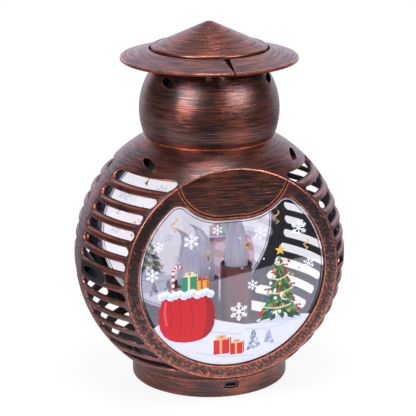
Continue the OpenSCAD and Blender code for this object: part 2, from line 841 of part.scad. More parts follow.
/* Half of the sloping brim, sprung over the rod ends by a knuckle at each end.
   The halves fold up into a carrying handle. */
module handle(side) {
    edge_z = brim_z - brim_fall;
    drop = brim_t / cos(brim_slope);
    nose = 0.5;
    color(copper)
        difference() {
            union() {
                intersection() {
                    rotate_extrude()
                        polygon([
                            [brim_inner_r, brim_z],
                            [brim_r - nose, edge_z + nose * tan(brim_slope)],
                            [brim_r, edge_z - nose],
                            [brim_r, edge_z - drop + nose],
                            [brim_r - nose, edge_z - drop + nose * tan(brim_slope)],
                            [brim_inner_r, brim_z - drop]
                        ]);
                    mirror([side < 0 ? 1 : 0, 0, 0])
                        translate([0, 0, edge_z - brim_lift])
                            linear_extrude(3 * brim_lift)
                                polygon([
                                    [notch_inner, -brim_inner_r],
                                    [notch_outer, -brim_r - cut],
                                    [2 * brim_r, -2 * brim_r],
                                    [2 * brim_r, 2 * brim_r],
                                    [notch_outer, brim_r + cut],
                                    [notch_inner, brim_inner_r]
                                ]);
                }
                for (end = [-1, 1])
                    translate([side * hinge_x, end < 0 ? -knuckle_start : knuckle_end, hinge_z])
                        rotate([90, 0, 0]) cylinder(r = knuckle_r, h = knuckle_end - knuckle_start);
            }
            translate([side * hinge_x, rod_end + fit_gap, hinge_z])
                rotate([90, 0, 0]) cylinder(r = rod_r + run_gap, h = 2 * (rod_end + fit_gap));
        }
}

module handle_left() { handle(-1); }
module handle_right() { handle(1); }

/* Cone cap: a thin cone with a rounded tip, a rolled rim and a screw boss inside */
module cap_cone() {
    inner_apex = cone_apex - cone_t / cos(cone_slope);
    inner_r = (inner_apex - cone_z) / tan(cone_slope);
    tip_z = cone_apex - tip_r / cos(cone_slope);
    tip_on = [tip_r * sin(cone_slope), tip_z + tip_r * cos(cone_slope)];
    color(copper)
        difference() {
            rotate_extrude() {
                polygon([
                    [0, block_top],
                    [cone_boss_r, block_top],
                    [cone_boss_r, inner_apex - cone_boss_r * tan(cone_slope)],
                    [inner_r, cone_z],
                    [cone_r, cone_z],
                    tip_on,
                    [0, tip_on.y]
                ]);
                intersection() {
                    translate([0, tip_z]) circle(tip_r);
                    translate([0, tip_on.y - 0.01]) square([tip_r, tip_r]);
                }
                translate([cone_r - bead_r, cone_z]) circle(bead_r);
            }
            cylinder(r = shank_r, h = block_top + cap_screw_grip);
        }
}

module cap_screw() {
    start = head_top - hub_spigot_h;
    color("#9a9a9a") translate([0, 0, start]) screw(block_top - start + cap_screw_grip - 1);
}

base_housing();
bottom_cover();
rubber_feet();
cover_screws();
circuit_board();
board_screws();
usb_port();
battery();
slide_switch();
switch_knob();
candle_deck();
deck_screws();
candle_sleeve_left();
candle_sleeve_right();
candle_sleeve_back();
flame_left();
flame_right();
flame_back();
lamp_left();
lamp_right();
lamp_back();
wiring();
front_shell();
rear_shell();
shell_screws();
front_window();
rear_window();
cap_hub();
cap_cone();
cap_screw();
hinge_rod_left();
hinge_rod_right();
handle_left();
handle_right();
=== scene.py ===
import math
import random

import bmesh
import bpy
from mathutils import Matrix, Vector


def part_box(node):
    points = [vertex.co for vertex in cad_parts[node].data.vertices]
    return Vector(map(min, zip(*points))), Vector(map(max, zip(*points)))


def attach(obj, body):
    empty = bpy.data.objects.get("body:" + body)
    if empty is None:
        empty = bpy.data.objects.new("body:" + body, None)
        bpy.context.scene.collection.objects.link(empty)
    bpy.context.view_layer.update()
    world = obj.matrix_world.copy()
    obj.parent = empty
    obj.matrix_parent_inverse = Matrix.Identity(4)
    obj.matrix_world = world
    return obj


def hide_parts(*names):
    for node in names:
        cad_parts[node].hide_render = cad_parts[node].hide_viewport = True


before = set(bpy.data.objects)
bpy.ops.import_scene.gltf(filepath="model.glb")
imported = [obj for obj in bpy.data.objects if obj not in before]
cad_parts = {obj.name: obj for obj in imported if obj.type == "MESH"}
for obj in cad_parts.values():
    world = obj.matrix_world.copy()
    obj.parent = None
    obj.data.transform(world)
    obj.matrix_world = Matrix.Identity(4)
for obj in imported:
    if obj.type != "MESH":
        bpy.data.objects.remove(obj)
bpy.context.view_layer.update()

# Studio camera: it stands a little to the left of the lantern's front and looks down on it.
# A long lens keeps the round body nearly without perspective.
camera_data = bpy.data.cameras.new("studio_camera")
camera_data.lens = 149.56
camera_data.sensor_width = 36.0
camera_data.shift_x = -0.0030
camera_data.shift_y = -0.0063
camera_data.clip_start = 0.05
camera_data.clip_end = 20.0
camera = bpy.data.objects.new("studio_camera", camera_data)
camera.location = (-0.2965, -1.0354, 0.4338)
camera.rotation_mode = "QUATERNION"
look_at = Vector((0.0, 0.0, 0.1144))
camera.rotation_quaternion = (look_at - camera.location).to_track_quat("-Z", "Y")
bpy.context.scene.collection.objects.link(camera)
bpy.context.scene.camera = camera
bpy.context.scene.view_settings.view_transform = "Standard"


# Paper sweep: a narrow sheet of matt white paper under the lantern, and a wide one that curves up
# behind it. It belongs to the studio, not to the lantern, and from below it is see-through.
def add(tree, kind, links=None, **settings):
    """Adds a node, sets its properties, and gives each named socket a value or a link. A node
    that is given for a link stands for its first output in use."""
    node = tree.nodes.new(kind)
    for key, value in settings.items():
        setattr(node, key, value)
    for key, value in (links or {}).items():
        if isinstance(value, bpy.types.Node):
            value = next(output for output in value.outputs if output.enabled)
        if isinstance(value, bpy.types.NodeSocket):
            tree.links.new(value, node.inputs[key])
        else:
            node.inputs[key].default_value = value
    return node


def new_material(name):
    """An empty material and its node tree."""
    material = bpy.data.materials.new(name)
    material.use_nodes = True
    material.node_tree.nodes.clear()
    return material, material.node_tree


def only(kind, geometry):
    """The vertices or the edges among what an operator made."""
    return [item for item in geometry if isinstance(item, kind)]


# Matt paper gives the eye plain white: the camera and see-through rays meet it as such, with a
# share of shading near the lantern that keeps its shadow. Gloss mirrors the lit sheet in front of
# the lantern, and behind it a cooler white that grows dim towards it. Fibres are about 1 mm.
paper, tree = new_material("matt_white_paper")
spot = add(tree, "ShaderNodeTexCoord").outputs["Object"]
fibre = add(tree, "ShaderNodeTexNoise", {"Vector": spot, "Scale": 900.0, "Detail": 2.0})
tone = add(tree, "ShaderNodeMapRange", {"Value": fibre, "To Min": 0.88, "To Max": 0.92})
matt = add(tree, "ShaderNodeBsdfDiffuse", {"Color": tone})
path = add(tree, "ShaderNodeLightPath")
glossy = path.outputs["Is Glossy Ray"]
away = add(tree, "ShaderNodeVectorMath", {0: spot}, operation="LENGTH")
plain_white, cool_white = (1, 1, 1, 1), (0.80, 0.78, 0.94, 1)
hue = add(tree, "ShaderNodeMix", {0: glossy, 6: plain_white, 7: cool_white}, data_type="RGBA")
dim = add(tree, "ShaderNodeMapRange",
          {"Value": away, "From Min": 0.1, "From Max": 1.8, "To Min": 0.3, "To Max": 1.0})
level = add(tree, "ShaderNodeMix", {0: glossy, 2: 1.0, 3: dim}, data_type="FLOAT")
glow = add(tree, "ShaderNodeEmission", {"Color": hue, "Strength": level})
seen = add(tree, "ShaderNodeMath",
           {0: path.outputs["Is Camera Ray"], 1: path.outputs["Is Transmission Ray"]},
           operation="MAXIMUM")
white = add(tree, "ShaderNodeMapRange",
            {"Value": away, "From Min": 0.06, "From Max": 0.5, "To Min": 0.88, "To Max": 1.0})
share = add(tree, "ShaderNodeMath", {0: seen, 1: white}, operation="MULTIPLY")
axes = add(tree, "ShaderNodeSeparateXYZ", {0: spot})
behind = add(tree, "ShaderNodeMapRange",
             {"Value": axes.outputs["Y"], "From Min": -0.03, "From Max": 0.05})
behind = add(tree, "ShaderNodeMath", {0: behind, 1: glossy}, operation="MULTIPLY")
share = add(tree, "ShaderNodeMath", {0: share, 1: behind}, operation="MAXIMUM")
both = add(tree, "ShaderNodeMixShader", {0: share, 1: matt, 2: glow})
under = add(tree, "ShaderNodeNewGeometry").outputs["Backfacing"]
gone = add(tree, "ShaderNodeBsdfTransparent")
sheet = add(tree, "ShaderNodeMixShader", {0: under, 1: both, 2: gone})
add(tree, "ShaderNodeOutputMaterial", {"Surface": sheet})
bm = bmesh.new()
for sides, near, length in (((-0.75, 0.32), -0.258, 0.858), ((-2.0, 2.0), 0.6, 0.6)):
    near_edge = [bm.verts.new((side, near, 0.0)) for side in sides]
    run = bmesh.ops.extrude_edge_only(bm, edges=[bm.edges.new(near_edge)])["geom"]
    bmesh.ops.translate(bm, vec=(0, length, 0), verts=only(bmesh.types.BMVert, run))
bend_start, bend_radius, wall_height = 1.2, 0.8, 2.0
bend = bmesh.ops.spin(bm, geom=only(bmesh.types.BMEdge, run), cent=(0, bend_start, bend_radius),
                      axis=(1, 0, 0), angle=math.pi / 2, steps=12)
wall_edge = only(bmesh.types.BMEdge, bend["geom_last"])
run = bmesh.ops.extrude_edge_only(bm, edges=wall_edge)["geom"]
bmesh.ops.translate(bm, vec=(0, 0, wall_height), verts=only(bmesh.types.BMVert, run))
square_to_camera = Matrix.Rotation(math.radians(-16), 3, "Z")
bmesh.ops.rotate(bm, cent=(0, 0, 0), matrix=square_to_camera, verts=bm.verts)
for face in bm.faces:
    face.normal_update()
    if face.normal.z - face.normal.y < 0:
        face.normal_flip()
sweep_mesh = bpy.data.meshes.new("paper_sweep")
bm.to_mesh(sweep_mesh)
bm.free()
sweep_mesh.materials.append(paper)
sweep = bpy.data.objects.new("paper_sweep", sweep_mesh)
bpy.context.scene.collection.objects.link(sweep)

# Studio light: a dim room that stands white behind the paper, a softbox at each front side, a weak
# one overhead, and one from behind that shines through the rear window and isn't mirrored in gloss.
world = bpy.data.worlds.new("dim_room")
bpy.context.scene.world = world
world.use_nodes = True
tree = world.node_tree
tree.nodes.clear()
path = add(tree, "ShaderNodeLightPath")
seen = add(tree, "ShaderNodeMath",
           {0: path.outputs["Is Camera Ray"], 1: path.outputs["Is Transmission Ray"]},
           operation="MAXIMUM")
level = add(tree, "ShaderNodeMapRange", {"Value": seen, "To Min": 0.12, "To Max": 1.0})
room = add(tree, "ShaderNodeBackground", {"Color": (1, 1, 1, 1), "Strength": level})
add(tree, "ShaderNodeOutputWorld", {"Surface": room})
softboxes = (("softbox_left", (-0.90, -0.66, 0.70), 0.62, 11.0, True),
             ("softbox_right", (0.64, -0.84, 0.70), 0.52, 8.1, True),
             ("softbox_top", (0.0, -0.1, 1.2), 0.5, 8.5, True),
             ("softbox_back", (0.2, 1.0, 0.35), 0.7, 10.5, False))
daylight = (0.92, 0.94, 1.0)
lamp_aim = Vector((0, 0, 0.12))
for name, place, size, power, mirrored in softboxes:
    lamp_data = bpy.data.lights.new(name, "AREA")
    lamp_data.size = size
    lamp_data.energy = power
    lamp_data.color = daylight
    lamp = bpy.data.objects.new(name, lamp_data)
    lamp.location = place
    lamp.rotation_mode = "QUATERNION"
    lamp.rotation_quaternion = (lamp_aim - lamp.location).to_track_quat("-Z", "Y")
    lamp.visible_glossy = mirrored
    bpy.context.scene.collection.objects.link(lamp)


# Base housing: a moulded ABS cup with a neck and flange inside the shells. It is lacquered
# black-brown and dry-brushed with copper, which lies in fine streaks and on every edge.
def linear(code):
    """Linear colour of an sRGB hex value such as 8a4b2b."""
    parts = [int(code[i:i + 2], 16) / 255 for i in (0, 2, 4)]
    return (*[c / 12.92 if c <= 0.04045 else ((c + 0.055) / 1.055) ** 2.4 for c in parts], 1.0)


def finish_with(material, *nodes):
    """Gives CAD nodes a material."""
    for node in nodes:
        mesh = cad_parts[node].data
        mesh.materials.clear()
        mesh.materials.append(material)


def brushed_copper(name, share=0.0, zones=None, streak=0.0003):
    """Black-brown lacquer on ABS, dry-brushed with copper and lacquered over: the eye meets copper
    streaks on a dark ground, bright rubbed edges and a clear sheen. The streaks run round the axis,
    15 mm long and as thick as streak says, coarser than real ones where those wouldn't show. Clouds
    of 25 mm vary how much copper took, share adds to it, and patches of 6 mm vary the rubbing.
    zones may change both, and say where the plastic is bare."""
    stroke, cloud, patch, edge_width = 0.015, 0.025, 0.00625, 0.0011
    ring_face = 0.0538
    dark_lacquer, copper, rubbed_copper, bare_abs = "171214", "b05a40", "e27d5c", "08080a"
    material, tree = new_material(name)
    spot = add(tree, "ShaderNodeTexCoord").outputs["Object"]
    axes = add(tree, "ShaderNodeSeparateXYZ", {0: spot})
    depth = add(tree, "ShaderNodeMath", {0: axes.outputs["Y"]}, operation="ABSOLUTE")
    on_side = add(tree, "ShaderNodeMath", {0: depth, 1: ring_face}, operation="LESS_THAN")
    flat = add(tree, "ShaderNodeVectorMath", {0: spot, 1: (1, 1, 0)}, operation="MULTIPLY")
    reach = add(tree, "ShaderNodeVectorMath", {0: flat}, operation="LENGTH")
    across = add(tree, "ShaderNodeMath", {0: reach, 1: on_side}, operation="MULTIPLY")
    across = add(tree, "ShaderNodeMath", {0: across, 1: 1 / streak}, operation="MULTIPLY")
    pulled = add(tree, "ShaderNodeVectorMath", {0: spot, 1: (1 / stroke, 1 / stroke, 1 / streak)},
                 operation="MULTIPLY")
    streaks = add(tree, "ShaderNodeTexNoise",
                  {"Vector": pulled, "W": across, "Scale": 1.0, "Detail": 3.0, "Roughness": 0.6},
                  noise_dimensions="4D")
    clouds = add(tree, "ShaderNodeTexNoise", {"Vector": spot, "Scale": 1 / cloud, "Detail": 4.0})
    taken = add(tree, "ShaderNodeMath", {0: clouds, 1: 0.3, 2: streaks}, operation="MULTIPLY_ADD")
    brushed = add(tree, "ShaderNodeMapRange",
                  {"Value": taken, "From Min": 0.57 - share, "From Max": 0.83 - share},
                  interpolation_type="SMOOTHSTEP")
    # Edges: where the true normal and one rounded over the edge's width part, with 1.4 mm grit.
    grit = add(tree, "ShaderNodeTexNoise", {"Vector": spot, "Scale": 700.0, "Detail": 2.0})
    surface = add(tree, "ShaderNodeNewGeometry")
    rounded = add(tree, "ShaderNodeBevel", {"Radius": edge_width}, samples=6)
    turn = add(tree, "ShaderNodeVectorMath", {0: surface.outputs["Normal"], 1: rounded},
               operation="DOT_PRODUCT")
    edge = add(tree, "ShaderNodeMath", {0: grit, 1: 0.08, 2: turn}, operation="MULTIPLY_ADD")
    worn = add(tree, "ShaderNodeMapRange", {"Value": edge, "From Min": 1.02, "From Max": 0.90},
               interpolation_type="SMOOTHSTEP")
    painted = None
    if zones:
        brushed, painted, worn = zones(tree, spot, axes, depth, brushed, worn)
    patches = add(tree, "ShaderNodeTexNoise",
                  {"Vector": spot, "Scale": 1 / patch, "Detail": 4.0, "Roughness": 0.7})
    patches = add(tree, "ShaderNodeMapRange",
                  {"Value": patches, "From Min": 0.36, "From Max": 0.6, "To Min": 0.25,
                   "To Max": 1.0})
    worn = add(tree, "ShaderNodeMath", {0: worn, 1: patches}, operation="MULTIPLY")
    colour = add(tree, "ShaderNodeMix",
                 {0: brushed, 6: linear(dark_lacquer), 7: linear(copper)}, data_type="RGBA")
    colour = add(tree, "ShaderNodeMix", {0: worn, 6: colour, 7: linear(rubbed_copper)},
                 data_type="RGBA")
    metal = add(tree, "ShaderNodeMath", {0: brushed, 1: worn}, operation="MAXIMUM")
    metal = add(tree, "ShaderNodeMapRange", {"Value": metal, "To Min": 0.5, "To Max": 0.85})
    rough = add(tree, "ShaderNodeMapRange", {"Value": streaks, "To Min": 0.33, "To Max": 0.17})
    coat = add(tree, "ShaderNodeMapRange",
               {"Value": streaks, "From Min": 0.38, "From Max": 0.64, "To Min": 0.3,
                "To Max": 0.5})
    if painted is not None:
        coat = add(tree, "ShaderNodeMath", {0: painted, 1: coat}, operation="MULTIPLY")
        colour = add(tree, "ShaderNodeMix", {0: painted, 6: linear(bare_abs), 7: colour},
                     data_type="RGBA")
        metal = add(tree, "ShaderNodeMath", {0: metal, 1: painted}, operation="MULTIPLY")
        rough = add(tree, "ShaderNodeMix", {0: painted, 2: 0.75, 3: rough}, data_type="FLOAT")
    bump = add(tree, "ShaderNodeBump", {"Strength": 0.6, "Distance": 0.0003, "Height": taken})
    film = add(tree, "ShaderNodeBump", {"Strength": 0.25, "Distance": 0.0003, "Height": taken})
    shader = add(tree, "ShaderNodeBsdfPrincipled",
                 {"Base Color": colour, "Metallic": metal, "Roughness": rough, "Normal": bump,
                  "Coat Weight": coat, "Coat Roughness": 0.28, "Coat IOR": 1.75,
                  "Coat Normal": film})
    add(tree, "ShaderNodeOutputMaterial", {"Surface": shader})
    return material


def port_zone(tree, spot, axes, depth, brushed, worn):
    """Bare black plastic in the charging port's cut-out, which is 5.06 mm high and 10.74 mm wide
    with round ends, and 0.07 mm past it."""
    half_straight, end_radius = 0.00284, 0.0026
    low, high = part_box("usb_port")
    port_z = (low[2] + high[2]) / 2
    side = add(tree, "ShaderNodeMath", {0: axes.outputs["X"]}, operation="ABSOLUTE")
    side = add(tree, "ShaderNodeMath", {0: side, 1: half_straight}, operation="SUBTRACT")
    side = add(tree, "ShaderNodeMath", {0: side, 1: 0.0}, operation="MAXIMUM")
    lift = add(tree, "ShaderNodeMath", {0: axes.outputs["Z"], 1: port_z}, operation="SUBTRACT")
    away = add(tree, "ShaderNodeCombineXYZ", {0: side, 2: lift})
    away = add(tree, "ShaderNodeVectorMath", {0: away}, operation="LENGTH")
    painted = add(tree, "ShaderNodeMath", {0: away, 1: end_radius}, operation="GREATER_THAN")
    behind = add(tree, "ShaderNodeMath", {0: axes.outputs["Y"], 1: 0.0}, operation="GREATER_THAN")
    painted = add(tree, "ShaderNodeMath", {0: painted, 1: behind}, operation="MAXIMUM")
    return brushed, painted, worn


finish_with(brushed_copper("brushed_copper_base", 0.008, port_zone), "base_housing")


# Bottom cover: plain black ABS, moulded with a fine spark-eroded texture and left bare. Four
# screws hold it under the base, and four rubber feet are pressed into it.
def moulded_plastic(name, colour, light, rough, grain_mm):
    """A moulded plastic of one colour. The eye meets a half-matt skin, cloudy by a few per cent
    over about 17 mm, with the mould's fine grain, drawn coarser than real to show at all."""
    material, tree = new_material(name)
    spot = add(tree, "ShaderNodeTexCoord").outputs["Object"]
    clouds = add(tree, "ShaderNodeTexNoise", {"Vector": spot, "Scale": 60.0, "Detail": 4.0})
    tone = add(tree, "ShaderNodeMix", {0: clouds, 6: linear(colour), 7: linear(light)},
               data_type="RGBA")
    grain = add(tree, "ShaderNodeTexNoise",
                {"Vector": spot, "Scale": 1000 / grain_mm, "Detail": 2.0})
    bump = add(tree, "ShaderNodeBump", {"Strength": 0.3, "Distance": 0.00008, "Height": grain})
    gloss = add(tree, "ShaderNodeMapRange",
                {"Value": grain, "To Min": rough - 0.06, "To Max": rough + 0.06})
    shader = add(tree, "ShaderNodeBsdfPrincipled",
                 {"Base Color": tone, "Roughness": gloss, "Normal": bump, "IOR": 1.53})
    add(tree, "ShaderNodeOutputMaterial", {"Surface": shader})
    return material


black_abs = moulded_plastic("moulded_black_abs", "17161a", "222126", 0.45, 0.5)
finish_with(black_abs, "bottom_cover")
finish_with(moulded_plastic("moulded_black_rubber", "121212", "1d1c1c", 0.8, 0.4), "rubber_feet")


# Screws: zinc-plated steel with drawn, faintly scratched shanks. They hold the cover, the
# circuit board and the deck.
def plated_steel(name, colour, light, rough):
    """Steel with a thin plating: bright, and slightly uneven in gloss along drawn lines, which are
    0.4 mm thick and 5 mm long."""
    line, length = 0.0004, 0.005
    material, tree = new_material(name)
    spot = add(tree, "ShaderNodeTexCoord").outputs["Object"]
    drawn = add(tree, "ShaderNodeVectorMath", {0: spot, 1: (1 / line, 1 / length, 1 / line)},
                operation="MULTIPLY")
    lines = add(tree, "ShaderNodeTexNoise", {"Vector": drawn, "Scale": 1.0, "Detail": 3.0})
    gloss = add(tree, "ShaderNodeMapRange",
                {"Value": lines, "To Min": rough - 0.08, "To Max": rough + 0.1})
    tone = add(tree, "ShaderNodeMix", {0: lines, 6: linear(colour), 7: linear(light)},
               data_type="RGBA")
    shader = add(tree, "ShaderNodeBsdfPrincipled",
                 {"Base Color": tone, "Metallic": 1.0, "Roughness": gloss})
    add(tree, "ShaderNodeOutputMaterial", {"Surface": shader})
    return material


zinc_plated = plated_steel("zinc_plated_steel", "8f9194", "c9cbce", 0.35)
finish_with(zinc_plated, "cover_screws", "board_screws", "deck_screws")

# Circuit board and what it carries: a green lacquered board, a nickel-plated charging socket
# with a black tongue, a pouch cell in blue film, a slide switch and red leads up to the lamps.
finish_with(moulded_plastic("green_board_lacquer", "20482c", "2c5a38", 0.35, 1.2), "circuit_board")
# The socket is near black inside: its black tongue, and painted shade on the nickel in the recess.
# Its mouth's front 0.1 to 0.4 mm is bright nickel.
socket = plated_steel("nickel_socket_painted_shade", "0e0e11", "38383d", 0.3)
tree = socket.node_tree
shader = tree.nodes["Principled BSDF"]
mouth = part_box("usb_port")[0][1]
axes = add(tree, "ShaderNodeSeparateXYZ", {0: add(tree, "ShaderNodeTexCoord").outputs["Object"]})
lip = add(tree, "ShaderNodeMapRange",
          {"Value": axes.outputs["Y"], "From Min": mouth + 0.0004, "From Max": mouth + 0.0001})
painted_shade_inside = shader.inputs["Base Color"].links[0].from_socket
tone = add(tree, "ShaderNodeMix", {0: lip, 6: painted_shade_inside, 7: linear("8c8c92")}, data_type="RGBA")
tree.links.new(tone.outputs[2], shader.inputs["Base Color"])
finish_with(socket, "usb_port")
finish_with(moulded_plastic("cell_shrink_film", "55708f", "6a86a6", 0.32, 1.5), "battery")
finish_with(moulded_plastic("moulded_switch_case", "33363a", "3d4044", 0.45, 0.6), "slide_switch")
finish_with(moulded_plastic("moulded_switch_nylon", "0e0e0f", "19191b", 0.42, 0.6), "switch_knob")
finish_with(moulded_plastic("red_wire_pvc", "8f1f20", "a42a28", 0.4, 0.8), "wiring")

# Candle deck: a black ABS plate on posts above the base, with a spigot for each candle. Its lamps
# are light-emitting diodes cast in warm white epoxy, glossy and milky.
finish_with(black_abs, "candle_deck")
lamp_epoxy = moulded_plastic("lamp_epoxy", "e6dcae", "f2ead0", 0.2, 2.0)
finish_with(lamp_epoxy, "lamp_left", "lamp_right", "lamp_back")

# Candle sleeves: moulded tubes with a rolled rim, painted a darker satin copper than the body
# and pushed over spigots on the deck. The cup that holds the flame is black: bare plastic, and
# painted shade in its recess round the flame's foot.
sleeves = ("candle_sleeve_left", "candle_sleeve_right", "candle_sleeve_back")


def cup_shade_zone(tree, spot, axes, depth, brushed, worn):
    """Black in the cups, which reach 10.1 mm out from each sleeve's axis: bare plastic, and painted
    shade in the recess round each flame's foot.
    """
    cup_radius, blur = 0.0101, 0.0001
    flat = add(tree, "ShaderNodeVectorMath", {0: spot, 1: (1, 1, 0)}, operation="MULTIPLY")
    nearest = 1.0
    for node in sleeves:
        low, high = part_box(node)
        centre = ((low[0] + high[0]) / 2, (low[1] + high[1]) / 2, 0)
        away = add(tree, "ShaderNodeVectorMath", {0: flat, 1: centre}, operation="DISTANCE")
        nearest = add(tree, "ShaderNodeMath", {0: away, 1: nearest}, operation="MINIMUM")
    painted = add(tree, "ShaderNodeMapRange",
                  {"Value": nearest, "From Min": cup_radius - blur, "From Max": cup_radius + blur})
    return brushed, painted, worn


finish_with(brushed_copper("brushed_copper_sleeve", 0.09, cup_shade_zone, 0.001), *sleeves)

# Flame shades: blown frosted polypropylene drops. They stand in the sleeves' cups over the lamps.
# To the eye they are milky, faintly lavender in daylight, and lit through by what is behind them,
# with soft upright flow lines 2.2 mm wide and 40 mm long.
frosted, tree = new_material("frosted_polypropylene")
spot = add(tree, "ShaderNodeTexCoord").outputs["Object"]
flow_lines_per_metre = (450, 450, 25)
pulled = add(tree, "ShaderNodeVectorMath", {0: spot, 1: flow_lines_per_metre},
             operation="MULTIPLY")
flow = add(tree, "ShaderNodeTexNoise", {"Vector": pulled, "Scale": 1.0, "Detail": 2.0})
clear = add(tree, "ShaderNodeMapRange", {"Value": flow, "From Min": 0.3, "From Max": 0.6})
tone = add(tree, "ShaderNodeMix", {0: clear, 6: linear("e2e0f0"), 7: linear("fffeff")},
           data_type="RGBA")
bump = add(tree, "ShaderNodeBump", {"Strength": 0.3, "Distance": 0.0004, "Height": flow})
shader = add(tree, "ShaderNodeBsdfPrincipled",
             {"Base Color": tone, "Roughness": 0.38, "Normal": bump, "IOR": 1.49,
              "Subsurface Weight": 0.2, "Subsurface Radius": (0.01, 0.01, 0.01),
              "Subsurface Scale": 0.5})
passing = add(tree, "ShaderNodeBsdfTranslucent", {"Color": tone})
milky = add(tree, "ShaderNodeMixShader", {0: 0.68, 1: shader, 2: passing})
add(tree, "ShaderNodeOutputMaterial", {"Surface": milky})


def merged(node):
    """A copy of a CAD node's triangles with their corners joined."""
    copy = bmesh.new()
    copy.from_mesh(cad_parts[node].data)
    bmesh.ops.remove_doubles(copy, verts=copy.verts, dist=1e-6)
    return copy


def riding_piece(name, bm, *materials):
    """An object that rides on the body, smooth but for edges over 38 degrees. Normals that came
    along with a copied node no longer fit, and are dropped."""
    for face in bm.faces:
        face.smooth = True
    mesh = bpy.data.meshes.new(name)
    bm.to_mesh(mesh)
    bm.free()
    if "custom_normal" in mesh.attributes:
        mesh.attributes.remove(mesh.attributes["custom_normal"])
    mesh.set_sharp_from_angle(angle=math.radians(38))
    for material in materials:
        mesh.materials.append(material)
    piece = bpy.data.objects.new(name, mesh)
    bpy.context.scene.collection.objects.link(piece)
    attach(piece, "lantern_body")
    return piece


for side in ("left", "right", "back"):
    shade = riding_piece("flame_shade_" + side, merged("flame_" + side), frosted)
    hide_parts("flame_" + side)


# Shell halves: two ABS mouldings that meet in an upright seam and carry the louvres, the flat
# ring faces and the brow. Outside they are brushed copper, inside the black plastic is bare.
# The body is a ball cut flat at front and back, and the head a smaller ball.
body_z, body_r, face_out = 0.0845, 0.088, 0.055
head_z, head_r = 0.1797, 0.045


